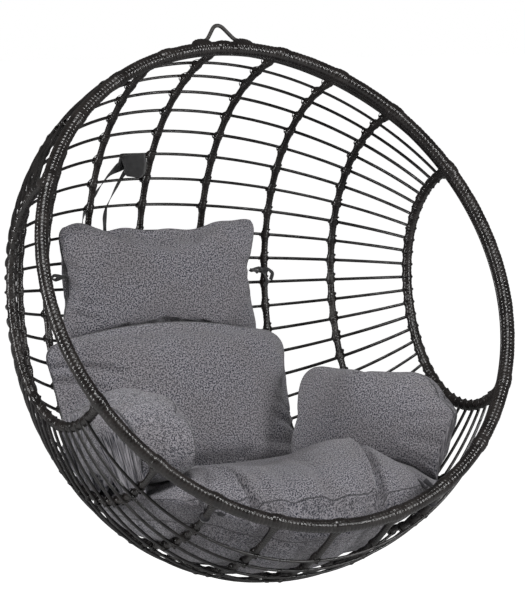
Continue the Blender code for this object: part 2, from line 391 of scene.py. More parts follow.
# %% Bound skin
def bound_section(length, rows, cols, radius, pitch, crown, seed):
    """Radii of a bar bound in tape: radius + crown (1 - |2 f - 1|^3.5) + a small step per turn.

    f runs from 0 to 1 across each turn of tape and advances by one pitch each time round the bar,
    so the grooves form a helix. Each turn sits a little higher or lower than the one before.
    """
    rng = np.random.default_rng(seed)
    s = np.linspace(0, length, rows)[:, None]
    turn = np.linspace(0, 1, cols, endpoint=False)[None]
    phase = s / pitch - turn
    f = phase - np.floor(phase)
    steps = rng.normal(0.0, 0.22 * crown, int(length / pitch) + 4)
    lift = np.interp(phase, np.arange(-1, len(steps) - 1), steps)
    crowned = crown * (1 - np.abs(2 * f - 1) ** 3.5)
    return np.broadcast_to(np.asarray(radius), (rows, cols)) + crowned + lift


# %% Hoop
TAPE_PITCH = 0.0080
HOOP_TURNS = round(2 * math.pi * HOOP_R / TAPE_PITCH)
ROWS_PER_TURN, HOOP_COLS = 8, 22
COLLAR_RISE, COLLAR_WIDTH = 0.0022, 0.013
BAR_MEETS_HOOP = [math.asin(ARCH_X / HOOP_R)] + [3 * RIB_STEP, 2 * RIB_STEP, RIB_STEP, 0.0]


def hoop_points(angle):
    """Chair-frame points on the hoop's centre line, by angle from its top towards +x."""
    zero = np.zeros_like(angle)
    return to_chair(np.stack([HOOP_R * np.sin(angle), HOOP_R * np.cos(angle), zero], -1))


rows = HOOP_TURNS * ROWS_PER_TURN
hoop_angle = np.linspace(0, 2 * np.pi, rows, endpoint=False)
joins = np.array(BAR_MEETS_HOOP + [math.pi - a for a in BAR_MEETS_HOOP])
joins = np.concatenate([joins, -joins])
gap = np.abs((hoop_angle[:, None] - joins + np.pi) % (2 * np.pi) - np.pi).min(1) * HOOP_R
thicker = COLLAR_RISE * np.exp(-(gap / COLLAR_WIDTH) ** 4)[:, None]
around = np.linspace(0, 2 * np.pi, HOOP_COLS, endpoint=False)[None]
behind = 0.5 + 0.5 * np.sin(around)
hoop_length = 2 * math.pi * HOOP_R
radius = bound_section(hoop_length * (1 - 1 / rows), rows, HOOP_COLS, HOOP_TUBE - 0.0005,
                       hoop_length / HOOP_TURNS, 0.0009, 3)
radius = radius + thicker * (0.25 + behind)
hoop_line = hoop_points(hoop_angle)
hoop_skin = sweep_arrays(hoop_line, hoop_line - HOOP_CENTRE, round_section(radius), closed=True)
hoop = put_mesh("bound_hoop", hoop_skin[0], hoop_skin[1], None, hoop_skin[3])
keep(hoop, "basket", "wicker", BOUND_WICKER, "hoop")
print("hoop:", HOOP_TURNS, "turns of tape,", len(hoop.data.polygons), "faces")

# %% [markdown]
# A round strand runs along the inner back edge of the hoop and covers the ends of the bindings.

# %% Edge strand
EDGE_POINTS, EDGE_RADIUS, EDGE_TURN = 400, 0.0026, math.radians(52)
edge_angle = np.linspace(0, 2 * np.pi, EDGE_POINTS, endpoint=False)
edge_line = hoop_points(edge_angle)
inward = unit(HOOP_CENTRE - edge_line)
edge_out = math.cos(EDGE_TURN) * inward + math.sin(EDGE_TURN) * BACK_M
edge_line = edge_line + (HOOP_TUBE + 0.0016) * edge_out
section = round_section(np.full((EDGE_POINTS, 8), EDGE_RADIUS))
points, quads, _, uv = sweep_arrays(edge_line, edge_out, section, closed=True)
keep(put_mesh("hoop_edge_strand", points, quads, None, uv), "basket", "wicker", BOUND_WICKER)
print("edge strand: one round of", round(2 * math.pi * HOOP_R, 2), "m")

# %% [markdown]
# ## Ribs and arches
# Seven ribs and two side arches are bound the same way with narrower tape. They swell where a
# strand is lashed on and spread into a collar where they meet the hoop, so their radius gets a
# smooth bump at each strand and at both ends.


# %% Ribs and arches
BAR_START, FINE_STEPS = 0.008, 4000


def upright_line(x, count):
    """Chair-frame centre line and outward normals of the bar in the plane x, and its angles."""
    start = math.asin(BAR_START / (math.sqrt(1 - (x / HOOP_R) ** 2) * HOOP_R))
    phi = np.linspace(start, math.pi - start, FINE_STEPS)
    step = np.linalg.norm(np.diff(basket(np.full(FINE_STEPS, x), phi)[0], axis=0), axis=1)
    s = np.concatenate([[0], np.cumsum(step)])
    phi = np.interp(np.linspace(0, s[-1], count), s, phi)
    point, normal = basket(np.full(count, x), phi)
    return to_chair(point), normal @ AXES, phi, s[-1]


def upright(name, x, tube_radius, pitch, cols, knot, collar, seed):
    """Bound bar: its radius grows by knot beside each strand and by collar towards its ends."""
    length = upright_line(x, 50)[3]
    rows = int(length / pitch * ROWS_PER_TURN)
    line, normal, phi, length = upright_line(x, rows)
    s = np.linspace(0, length, rows)
    strand_s = np.interp(STRAND_ANGLES, phi, s)
    near = np.abs(s[:, None] - strand_s).min(1)
    end = np.minimum(s, length - s)
    around = np.linspace(0, 2 * np.pi, cols, endpoint=False)[None]
    swell = knot * np.exp(-(near / 0.0095) ** 2)[:, None] * (0.6 - 0.4 * np.sin(around))
    swell = swell + collar * np.exp(-(end / 0.016) ** 2)[:, None]
    radius = bound_section(length, rows, cols, tube_radius - 0.0006, pitch, 0.0006, seed) + swell
    points, quads, tris, uv = sweep_arrays(line, normal, round_section(radius))
    obj = put_mesh("bound_" + name, points, quads, tris, uv)
    return keep(obj, "basket", "wicker", BOUND_WICKER, name)


RIB_NAMES = ("left_3", "left_2", "left_1", "centre", "right_1", "right_2", "right_3")
RIB_X = [HOOP_R * math.sin((i - 3) * RIB_STEP) for i in range(7)]
for i, (name, x) in enumerate(zip(RIB_NAMES, RIB_X)):
    upright("rib_" + name, x, RIB_TUBE + 0.0004, 0.0064, 14, 0.0032, 0.0050, 10 + i)
upright("arch_left", -ARCH_X, ARCH_TUBE + 0.0008, 0.0072, 18, 0.0022, 0.0035, 20)
upright("arch_right", ARCH_X, ARCH_TUBE + 0.0008, 0.0072, 18, 0.0022, 0.0035, 21)
print("ribs at x =", np.round(RIB_X, 3))

# %% [markdown]
# ## Strands
# Thirty-one lengths of round wicker lie over the ribs and hook round the arches, which hides
# their cut ends. Each follows the basket's surface a rib's thickness outside it, then turns most
# of the way round the arch. One function gives the route and one sweep gives the skin.


# %% Strands
def strand_route(phi):
    """Strand's centre line: over the ribs, out to both arches, and round each in a hook.

    The lift above the surface grows from the ribs' to the arches'. The hook is a circle round the
    arch: outwards cos(a) + onwards sin(a), for a from 0 to 235 degrees.
    """
    arch_turn, last_rib = math.asin(ARCH_X / HOOP_R), 3 * RIB_STEP
    turn = np.linspace(-arch_turn, arch_turn, 61)
    share = np.clip((np.abs(turn) - last_rib) / (arch_turn - last_rib), 0, 1)
    lift = RIB_TUBE + STRAND_TUBE + share * (ARCH_TUBE - RIB_TUBE - 0.5 * STRAND_TUBE)
    point, normal = basket(HOOP_R * np.sin(turn), phi)
    line = point + lift[:, None] * normal
    hooks = []
    for end, onwards in ((0, line[0] - line[1]), (-1, line[-1] - line[-2])):
        a = np.radians(np.linspace(14, 235, 16))[:, None]
        onwards = unit(onwards - normal[end] * (onwards @ normal[end]))
        radius = ARCH_TUBE + 0.5 * STRAND_TUBE
        hooks.append(point[end] + radius * (np.cos(a) * normal[end] + np.sin(a) * onwards))
    route = np.vstack([hooks[0][::-1], line[1:-1], hooks[1]])
    return to_chair(route)


STRAND_ROWS = 110
for i, phi in enumerate(STRAND_ANGLES):
    route = evenly(strand_route(phi), STRAND_ROWS)
    rng = np.random.default_rng(40 + i)
    wander = np.interp(np.arange(STRAND_ROWS), np.arange(0, 120, 10), rng.normal(size=12))
    radius = 1.12 * STRAND_TUBE * (1 + 0.035 * wander)
    section = round_section(np.repeat(radius[:, None], 10, 1))
    facing = route - (HOOP_CENTRE + 0.2 * BACK_M)
    obj = put_mesh("round_strand_%02d" % (i + 1), *sweep_arrays(route, facing, section))
    keep(obj, "basket", "wicker", ROUND_WICKER, "strand_%02d" % (i + 1))
print("strands:", len(STRAND_ANGLES))

# %% [markdown]
# ## Lashings
# Wherever a strand crosses a rib, tape goes over the strand one way and back over it the other,
# in an X, and a third turn leads up to it from the strand's left and leaves a small slit beside
# the rib. Each turn is a slanted oval loop round rib and strand. There are hundreds, so a loop
# has only a few dozen faces, and all lashings on one rib are one piece.


# %% Lashings
def lashings(name, x, tube_radius, span):
    """Crossed tape loops where strands cross the bar in the plane x.

    Loop point at angle a: outwards (lift + tall cos a), across span sin a, and along the bar
    slant sin a, with the slant one way and then the other. The third loop is wider by reach on
    the left, where it holds the strand, and climbs the bar on the right.
    """
    point, normal = basket(np.full(len(STRAND_ANGLES), x), STRAND_ANGLES)
    ahead = basket(np.full(len(STRAND_ANGLES), x), STRAND_ANGLES + 0.01)[0]
    point, ahead, normal = to_chair(point), to_chair(ahead), normal @ AXES
    along = unit(ahead - point)
    across = np.cross(along, normal)
    a = np.linspace(0, 2 * np.pi, 13, endpoint=False)[:, None]
    tall, lift = tube_radius + STRAND_TUBE + 0.0010, STRAND_TUBE
    flat = np.array([(0.0006, 0.0), (0.0002, 0.0021), (-0.0005, 0.0021), (-0.0005, -0.0021),
                     (0.0002, -0.0021)])
    parts = []
    for p, n, u, t in zip(point, normal, along, across):
        for slant, climb, left in ((0.0042, 0.0, 0.0), (-0.0042, 0.0, 0.0), (-0.0075, 0.0055, 0.0050)):
            out_way, across_way = lift + tall * np.cos(a), np.sin(a) * (span + left * (np.sin(a) < 0))
            ring = p + n * out_way + t * across_way + u * (slant * np.sin(a) - climb)
            section = np.broadcast_to(flat, (13, 5, 2))
            parts.append(sweep_arrays(ring, ring - p - n * lift, section, closed=True))
    points, quads, _, uv = join_arrays(parts)
    obj = put_mesh(name, points, quads, None, uv)
    return keep(obj, "basket", "wicker", BOUND_WICKER)


for name, x in zip(RIB_NAMES, RIB_X):
    lashings("lashings_rib_" + name, x, RIB_TUBE, RIB_TUBE + 0.0012)
print("lashings: three loops at each of", len(STRAND_ANGLES) * len(RIB_X), "crossings")

# %% [markdown]
# ## Hanging eye
# A length of 8 mm rod is bent to a round-topped loop, and its splayed feet are welded along the
# hoop and bound over. The loop could be a torus cut in half, but its legs slant, so it is swept
# along a path of two feet, two legs and an arc. Painted steel: dark, semi-gloss, a little uneven.


# %% Eye
def steel_material():
    mat, tree, shader = new_material("painted_steel", Specular_IOR_Level=0.5, Metallic=0.25)
    place = add(tree, "ShaderNodeTexCoord").outputs["Object"]
    patch = use_group(tree, patches, Place=place, Size=160.0)
    grain = use_group(tree, streaks, Place=place, Across=1200.0, Along=900.0)
    worn = maths(tree, "MULTIPLY", patch["Patch"], grain["Fleck"])
    dark, light = (0.045, 0.042, 0.040, 1), (0.14, 0.135, 0.13, 1)
    feed(tree, shader, "Base Color", mix_colour(tree, worn, dark, light))
    feed(tree, shader, "Roughness", remap(tree, patch["Patch"], 0.0, 1.0, 0.36, 0.52))
    add_bump(tree, shader, patch["Patch"], 0.0004, 0.5)
    return mat


PAINTED_STEEL = steel_material()
foot_r = HOOP_R + HOOP_TUBE + EYE_TUBE
foot = [(foot_r * math.sin(a), foot_r * math.cos(a)) for a in (0.113, 0.09, 0.07)]
leg = [(0.0305, foot_r + 0.0018), (0.0255, foot_r + 0.0085)]
EYE_RISE, EYE_BEND, EYE_ROWS = 0.0504, 0.014, 90
crown_v = HOOP_R + EYE_RISE - EYE_BEND
arc_turn = np.radians(np.linspace(25, 90, 9))
arc = [(EYE_BEND * math.cos(a), crown_v + EYE_BEND * math.sin(a)) for a in arc_turn]
half_eye = np.array(foot + leg + arc)
outline = np.vstack([half_eye, (half_eye * [-1, 1])[-2::-1]])
eye_line = smooth_path(np.column_stack([outline, np.zeros(len(outline))]), EYE_ROWS)
radius = np.full((EYE_ROWS, 14), EYE_TUBE)
eye_points, quads, tris, uv = sweep_arrays(
    to_chair(eye_line), np.tile(BACK_M, (EYE_ROWS, 1)), round_section(radius))
eye = put_mesh("bent_eye", eye_points, quads, tris, uv)
keep(eye, "basket", "eye_steel", PAINTED_STEEL, "hanging_eye")

FOOT_ROWS, FOOT_COLS, ROD_UNDER_TAPE = 60, 26, 2.1 * EYE_TUBE
foot_angle = np.linspace(0.052, 0.128, FOOT_ROWS)
parts = []
for side in (-1, 1):
    line = hoop_points(side * foot_angle)
    around = np.linspace(0, 2 * np.pi, FOOT_COLS, endpoint=False)[None]
    away = np.minimum(around, 2 * np.pi - around)
    taper = np.sin(np.linspace(0, np.pi, FOOT_ROWS))[:, None] ** 0.4
    radius = bound_section(0.039, FOOT_ROWS, FOOT_COLS, HOOP_TUBE, 0.0065, 0.0009, 30 + side)
    radius = radius + taper * (0.0008 + ROD_UNDER_TAPE * np.exp(-(away / 0.42) ** 2))
    parts.append(sweep_arrays(line, line - HOOP_CENTRE, round_section(radius)))
points, quads, tris, uv = join_arrays(parts)
keep(put_mesh("eye_foot_bindings", points, quads, tris, uv), "basket", "wicker", BOUND_WICKER)
print("eye rises to", np.round(eye_points[:, 2].max(), 4))

# %% [markdown]
# ## Webbing
# A black webbing flap folds over one strand, and two narrow tapes drop from it behind the strands
# to the head pillow. Tape is a thin flat section carried along a path and free to twist, so each
# route says where the tape goes and which way its width lies.


# %% Webbing material and tape
def webbing_material():
    """Black woven tape: cross threads as a fine wave along the tape, with dusty patches."""
    mat, tree, shader = new_material("black_webbing", Roughness=0.85, Sheen_Weight=0.35)
    uv = add(tree, "ShaderNodeTexCoord").outputs["UV"]
    threads = {"Vector": uv, "Scale": 260.0, "Distortion": 1.5}
    wave = add(tree, "ShaderNodeTexWave", threads).outputs["Fac"]
    place = add(tree, "ShaderNodeTexCoord").outputs["Object"]
    dust = use_group(tree, patches, Place=place, Size=60.0)
    tone = maths(tree, "MULTIPLY", wave, dust["Patch"])
    black, dusty = (0.009, 0.009, 0.010, 1), (0.034, 0.033, 0.034, 1)
    feed(tree, shader, "Base Color", mix_colour(tree, tone, black, dusty))
    add_bump(tree, shader, wave, 0.0003, 0.7)
    return mat


BLACK_WEBBING = webbing_material()


def tape(path, facing, width, thick):
    """Flat tape along a path: eight corners, its face towards facing and rounded at both edges."""
    width = np.broadcast_to(np.asarray(width, float), len(path))[:, None]
    across = np.array([-1.0, -0.7, 0.0, 0.7, 1.0, 0.7, 0.0, -0.7])
    up = np.array([0.0, 1.0, 1.15, 1.0, 0.0, -1.0, -1.15, -1.0])
    section = np.stack([np.broadcast_to(up * thick / 2, (len(path), 8)), width / 2 * across], -1)
    return sweep_arrays(path, facing, section)


print("webbing:", BLACK_WEBBING.name)

# %% Strap
STRAP_X = -0.040
STRAP_PHI = STRAND_ANGLES[6]


def surface_spot(x, degrees, outside):
    """Chair-frame point that many degrees below the strap's strand, lifted off the surface."""
    point, normal = basket(x, STRAP_PHI + math.radians(degrees))
    return to_chair(point + outside * normal)


strap_strand = strand_route(STRAP_PHI)
strap_strand = strap_strand[np.argsort(strap_strand[:, 0])]
over = np.array([np.interp(STRAP_X, strap_strand[:, 0], strap_strand[:, k]) for k in range(3)])
clear, outside = STRAND_TUBE + 0.0012, RIB_TUBE + 2 * STRAND_TUBE + 0.0024
bend = np.linspace(0, np.pi, 9)
fold = [surface_spot(STRAP_X, 3.4, outside), surface_spot(STRAP_X, 1.2, outside)]
fold += [over + np.array([0.0, clear * math.cos(a), clear * math.sin(a)]) for a in bend]
fold += [over + np.array([0.003, -clear - 0.002, -0.022]), over + np.array([0.0, -clear, -0.046])]
flap_line = smooth_path(fold, 60)
drop = np.linspace(0, 1, 60)
flap_width = 0.054 - 0.004 * np.sin(drop * 9.0) - 0.020 * np.clip((drop - 0.86) / 0.14, 0, 1) ** 2
run = unit(np.gradient(flap_line, axis=0))
flap_facing = np.cross(np.tile([1.0, 0.0, 0.0], (60, 1)), run) * -1
flap = put_mesh("strap_flap", *tape(flap_line, flap_facing, flap_width, 0.0016))
keep(flap, "basket", "webbing", BLACK_WEBBING, "pillow_strap_flap")

for name, side, twist in (("left", -1, 2.2), ("right", 1, 1.4)):
    stops = [surface_spot(STRAP_X + side * 0.012, 2.4, outside + 0.001)]
    stops += [surface_spot(STRAP_X - 0.0055 * t + side * (0.013 + 0.0012 * t), t, outside + 0.001)
              for t in (4.5, 7.0, 9.5, 11.5)]
    stops += [surface_spot(STRAP_X - 0.0055 * t + side * (0.013 + 0.0012 * t), t, off)
              for t, off in ((13.4, 0.006), (15.6, -0.010), (17.5, -0.022))]
    line = smooth_path(stops, 90)
    share = np.linspace(0, 1, 90)
    spin = twist * math.pi * share[:, None]
    run = unit(np.gradient(line, axis=0))
    face = np.cross(np.tile([1.0, 0.0, 0.0], (90, 1)), run)
    face = np.cos(spin) * face + np.sin(spin) * np.cross(run, face)
    width = 0.0085 + 0.011 * np.exp(-(share / 0.10) ** 2) + 0.0015 * np.sin(share * 21)
    obj = put_mesh("strap_tape_" + name, *tape(line, face, width, 0.0014))
    keep(obj, "basket", "webbing", BLACK_WEBBING, "pillow_strap_tape_" + name)
print("strap hangs at x = %.3f m" % STRAP_X)

# %% [markdown]
# ## Ties
# The pillow is tied to a rib at each end with webbing, and the seat's front corners to the foot of
# a rib with strips of their own cloth. A tie is a few turns round the bar, a knot and two loose ends.
# The knot could be modelled strand by strand, but at this size a short fat loop of the same tape
# wound over itself reads as one.


# %% Ties
def tie(name, centre, axis, towards, bar, width, tails, mat, slot, node):
    """Turns of tape round a bar along axis, a knot on its side facing towards, and loose tails.

    The turns are a helix: bar radius times (cos a, sin a) round the axis, creeping along it. The
    knot is a small ring tilted across them. Each tail is a smooth path from the knot.
    """
    axis = unit(np.array(axis, float))
    first = unit(towards - axis * (towards @ axis))
    second = np.cross(axis, first)
    a = np.linspace(0, 4.0 * np.pi, 80)[:, None]
    creep = width * 0.55 * (a / (2 * np.pi) - 1.0)
    puff = 0.0006 * np.sin(2.3 * a)
    turns = centre + (bar + 0.0012 + puff) * (np.cos(a) * first + np.sin(a) * second) + creep * axis
    parts = [tape(turns, turns - centre, width, 0.0014)]
    knot = centre + first * (bar + 0.0042)
    b = np.linspace(0, 3.2 * np.pi, 50)[:, None]
    ring = 0.0042 * (np.cos(b) * axis + 0.8 * np.sin(b) * second)
    loop = knot + ring + 0.0012 * np.sin(1.5 * b) * first
    parts.append(tape(loop, loop - knot + 0.001 * first, width * 0.6, 0.0022))
    for tail in tails:
        line = smooth_path(np.vstack([knot, knot + np.array(tail)]), 36)
        run = unit(np.gradient(line, axis=0))
        spin = np.linspace(0.3, 2.6, 36)[:, None]
        face = unit(np.cross(run, second))
        face = np.cos(spin) * face + np.sin(spin) * np.cross(run, face)
        parts.append(tape(line, face, width * 0.8, 0.0014))
    points, quads, tris, uv = join_arrays(parts)
    return keep(put_mesh(name, points, quads, tris, uv), "basket", slot, mat, node)


def tie_pair(name, angle, towards, width, tails, mat, slot, node):
    """A tie on the second rib from the middle at each side; towards and tails suit the right."""
    for side_name, side in (("left", -1.0), ("right", 1.0)):
        mirror = np.array([side, 1.0, 1.0])
        x = side * HOOP_R * math.sin(2 * RIB_STEP)
        middle, ahead = to_chair(basket(x, angle)[0]), to_chair(basket(x, angle + 0.02)[0])
        tie(name + side_name, middle, ahead - middle, np.array(towards) * mirror, RIB_TUBE,
            width, [np.array(tail) * mirror for tail in tails], mat, slot, node + side_name)


tie_pair("tied_pillow_end_", (STRAND_ANGLES[10] + STRAND_ANGLES[11]) / 2, (-1.0, -0.25, 0.0), 0.010,
         [[(-0.006, -0.004, 0.006), (-0.018, -0.008, 0.003), (-0.032, -0.012, 0.000)],
          [(-0.008, -0.004, -0.004), (-0.016, -0.010, 0.000), (-0.030, -0.012, 0.004)],
          [(0.004, -0.010, -0.008), (0.010, -0.012, -0.022), (0.004, -0.010, -0.034)],
          [(0.012, -0.010, 0.004), (0.024, -0.010, -0.006), (0.020, -0.008, -0.020)]],
         BLACK_WEBBING, "webbing", "pillow_tie_")
print("ties on the pillow's ends: two")

# %% [markdown]
# ## Cushion cloth
# The covers are a grey mixture cloth: yarns of several greys woven together, so the colour is a
# fine speckle with short streaks both ways of the weave, thicker slubs of yarn, and a slow drift
# of tone. Each cover keeps the flat position it had when cut as an attribute, and the weave reads
# that, so it bends with the cloth. A second attribute holds the distance to the nearest seam, for
# a dark band of painted shade along each seam, where its groove would fall in shade.

# %% Mixture weave group
weave, given, out = new_group(
    "mixture_weave", [("Place", "Vector", None), ("Yarn", "Float", 1000.0)], ["Speckle", "Ridge"])
parts = []
for stretch in ((0.30, 1.0, 1.0), (1.0, 0.30, 0.55)):
    scaled = add(weave, "ShaderNodeVectorMath", {0: given["Place"], 1: stretch},
                 operation="MULTIPLY").outputs[0]
    yarn = {"Vector": scaled, "Scale": given["Yarn"], "Detail": 1.5, "Roughness": 0.65}
    node = add(weave, "ShaderNodeTexNoise", yarn)
    parts.append(remap(weave, node.outputs["Fac"], 0.36, 0.64))
both = maths(weave, "MULTIPLY", maths(weave, "ADD", parts[0], parts[1]), 0.5)
slub = add(weave, "ShaderNodeTexNoise", {"Vector": given["Place"], "Detail": 1.0, "Roughness": 0.5,
                                         "Scale": maths(weave, "MULTIPLY", given["Yarn"], 0.36)})
thick = remap(weave, slub.outputs["Fac"], 0.36, 0.64)
tone = maths(weave, "ADD", maths(weave, "MULTIPLY", both, 0.55), maths(weave, "MULTIPLY", thick, 0.45))
weave.links.new(remap(weave, tone, 0.26, 0.74), out["Speckle"])
weave.links.new(both, out["Ridge"])


def cloth_material(name, dark, light):
    mat, tree, shader = new_material(name, Roughness=0.92, Sheen_Weight=0.22, Sheen_Roughness=0.45,
                                     Specular_IOR_Level=0.25)
    flat = add(tree, "ShaderNodeAttribute", attribute_name="cut_place").outputs["Vector"]
    seam = add(tree, "ShaderNodeAttribute", attribute_name="seam_distance").outputs["Fac"]
    yarns = use_group(tree, weave, Place=flat, Yarn=980.0)
    drift = use_group(tree, patches, Place=flat, Size=9.0)
    cloth = mix_colour(tree, yarns["Speckle"], dark, light)
    faded = remap(tree, drift["Patch"], 0.0, 1.0, 0.0, 0.22)
    toned = mix_colour(tree, faded, cloth, (0.14, 0.125, 0.12, 1))
    # painted shade: a near-black band within 3 mm of each seam stands in for the shade in the seam's
    # groove
    seam_shade = remap(tree, seam, 0.0005, 0.0028, 0.80, 0.0)
    seam_shaded = mix_colour(tree, seam_shade, toned, (0.018, 0.018, 0.020, 1))
    feed(tree, shader, "Base Color", seam_shaded)
    add_bump(tree, shader, yarns["Ridge"], 0.0010, 0.55)
    return mat


MIXTURE_CLOTH = cloth_material("mixture_cloth", (0.011, 0.014, 0.024, 1), (0.305, 0.293, 0.317, 1))
print("cloth:", MIXTURE_CLOTH.name)

# %% Seat ties
tie_pair("tied_seat_corner_", STRAND_ANGLES[-1] + math.radians(FLOOR_PITCH), (-0.3, -0.5, 1.0), 0.013,
         [[(0.0, -0.002, 0.012), (-0.006, 0.010, 0.024), (-0.012, 0.026, 0.034)],
          [(0.004, -0.006, 0.010), (0.010, 0.000, 0.022), (0.004, 0.020, 0.034)],
          [(-0.008, -0.012, 0.004), (-0.020, -0.016, 0.000), (-0.032, -0.014, -0.006)]],
         MIXTURE_CLOTH, "cushion_fabric", "seat_tie_")
print("ties at the seat's corners: two")

# %% [markdown]
# ## Sewn covers
# A cushion is two flat panels sewn together, with a boxing strip between them on the thick ones,
# and stuffed. A crowned block could be shaped by formula alone, but the puckers that run in from
# a seam come from cloth that is too wide for its stitches. So each cover starts as its flat
# panels, is blown up by Cloth's pressure, and only then gets its folds, its place and its bends.


# %% Flat panels
def outline_reach(direction, power):
    """How far a rounded square reaches in a direction: (|cos|^p + |sin|^p)^(-1/p)."""
    c, s = np.abs(np.cos(direction)), np.abs(np.sin(direction))
    return (c ** power + s ** power) ** (-1.0 / power)


def sewn_cover(half_w, half_h, depth, cell, power_of, dome):
    """Two panels of square mesh joined by a boxing strip, as points, faces, cut places and seams.

    The panel's square grid is pushed out to a rounded outline: a point at square radius q keeps
    its direction and goes to q times the outline's reach there. Panels start slightly domed.
    """
    nu, nv = (int(round(2 * half / cell / 2)) * 2 for half in (half_w, half_h))
    v, u = np.meshgrid(np.linspace(-1, 1, nv + 1), np.linspace(-1, 1, nu + 1), indexing="ij")
    direction = np.arctan2(v, u)
    power = power_of(direction)
    q = np.maximum(np.abs(u), np.abs(v))
    reach_out = q * outline_reach(direction, power)
    x, y = half_w * reach_out * np.cos(direction), half_h * reach_out * np.sin(direction)
    bulge = depth / 2 + dome * (1 - q ** 4) * (1 - 0.5 * q ** 2)
    top = np.stack([x, y, bulge], -1).reshape(-1, 3)
    cut = np.stack([x, y, 0 * x], -1).reshape(-1, 3)
    index = np.arange((nu + 1) * (nv + 1)).reshape(nv + 1, nu + 1)
    edge = np.concatenate([index[0, :-1], index[:-1, -1], index[-1, :0:-1], index[:0:-1, 0]])
    quads = grid_quads(nv + 1, nu + 1)
    layers = max(1, int(round(depth / cell)))
    count, ring = len(top), len(edge)
    inner = layers - 1
    heights = depth / 2 - depth * np.arange(1, layers) / layers
    strip = strip_cut = np.zeros((0, 3))
    if inner:
        strip = np.concatenate([top[edge] * [1, 1, 0] + [0, 0, h] for h in heights])
        strip_cut = np.concatenate([cut[edge] + [0, 0, h - depth / 2] for h in heights])
    points = np.vstack([top, top * [1, 1, -1], strip])
    cuts = np.vstack([cut, cut + [0, 0, -depth], strip_cut])
    loops = [edge] + [2 * count + i * ring + np.arange(ring) for i in range(inner)]
    loops.append(edge + count if depth > 0 else edge)
    belts = [np.stack([b, np.roll(b, -1), np.roll(a, -1), a], -1) for a, b in zip(loops, loops[1:])]
    bottom = quads[:, ::-1] + count
    if depth == 0:
        swap = np.arange(len(points))
        swap[edge + count] = edge
        bottom, belts = swap[bottom], []
    faces = np.concatenate([quads, bottom] + belts)
    used, faces = np.unique(faces, return_inverse=True)
    seam = np.concatenate([(1 - q.ravel()) * min(half_w, half_h)] * 2
                          + [np.full(ring, min(depth / 2 - h, h + depth / 2)) for h in heights])
    return points[used], faces.reshape(-1, 4), cuts[used], np.abs(seam[used])


# %% [markdown]
# The next cell blows a cover up. Cloth's gravity is off and its pressure on, the seams hold their
# length better than the panels, and each point may move only so far.


# %% Inflate
def blown_up(points, faces, seam, frames, pressure, ease, cap):
    """Points after a Cloth run with pressure; ease is how much too wide the panels are cut."""
    scene = bpy.context.scene
    obj = put_mesh("cover_being_filled", points, faces)
    panels = obj.vertex_groups.new(name="panels")
    for level in range(4):
        chosen = np.nonzero((np.clip(seam / 0.02, 0, 0.999) * 4).astype(int) == level)[0]
        panels.add(chosen.tolist(), (level + 1) / 4, "REPLACE")
    cloth = obj.modifiers.new("filling", "CLOTH")
    settings = cloth.settings
    settings.quality, settings.mass = 6, 0.15
    settings.tension_stiffness = settings.compression_stiffness = 14.0
    settings.shear_stiffness, settings.bending_stiffness = 5.0, 0.12
    settings.use_pressure, settings.uniform_pressure_force = True, pressure
    settings.effector_weights.gravity = 0.0
    settings.vertex_group_shrink = "panels"
    settings.shrink_min, settings.shrink_max = 0.0, -ease
    cloth.point_cache.frame_start, cloth.point_cache.frame_end = 1, frames
    for frame_number in range(1, frames + 1):
        scene.frame_set(frame_number)
    shape = obj.evaluated_get(bpy.context.evaluated_depsgraph_get()).data
    moved = np.empty(len(points) * 3, np.float32)
    shape.vertices.foreach_get("co", moved)
    bpy.data.objects.remove(obj)
    scene.frame_set(1)
    step = moved.reshape(-1, 3) - points
    length = np.linalg.norm(step, axis=1, keepdims=True)
    return points + step * np.minimum(1, cap / np.maximum(length, 1e-9))


def fold_line(points, start, end, depth, width):
    """Push the front's points in along a crease from start to end in the panel's plane.

    The depth falls off as exp(-(distance / width)^2), tapers to nothing at the inner end, and a
    soft roll of half the depth stands beside the crease.
    """
    start, end = np.array(start), np.array(end)
    run = end - start
    share = np.clip(((points[:, :2] - start) @ run) / (run @ run), 0, 1)
    across = (points[:, :2] - start - share[:, None] * run)
    distance = np.linalg.norm(across, axis=1)
    signed = (across @ np.array([-run[1], run[0]])) / np.linalg.norm(run)
    facing = np.clip(points[:, 2] / 0.01, 0, 1)
    taper = np.sqrt(np.clip(1 - share, 0, 1)) * facing
    dent = -np.exp(-(distance / width) ** 2)
    roll = 0.5 * np.exp(-((signed - 1.7 * width) / width) ** 2) * np.exp(-(distance / (4 * width)) ** 2)
    moved = points.copy()
    moved[:, 2] += depth * taper * (dent + roll)
    return moved


def creased(points, creases):
    """The points after each crease, given as (start, end, depth, width), is pressed in."""
    for crease in creases:
        points = fold_line(points, *crease)
    return points


print("covers are cut in cells of 6 to 7.5 mm")

# %% [markdown]
# ## Placing the covers
# A filled cover is stretched to its cushion's size, turned into place, and pressed into the cage.
# Pressing scales a point towards the hoop's centre until it fits; the limit is a little looser
# between the ribs, so the cloth bulges there as it does against real bars. Where two cushions
# meet, Shrinkwrap's Outside mode moves the points that one has inside the other out to its
# surface. It is quick, but it stretches a few faces, most of all low on the left arm's front.


# %% Place and press
CAGE_FILL, MOUTH = 0.976, 0.486


def fitted(points, half):
    """Filled cover centred, and stretched so that each axis reaches its half size."""
    low, high = points.min(0), points.max(0)
    return (points - (low + high) / 2) / ((high - low) / 2) * np.array(half)


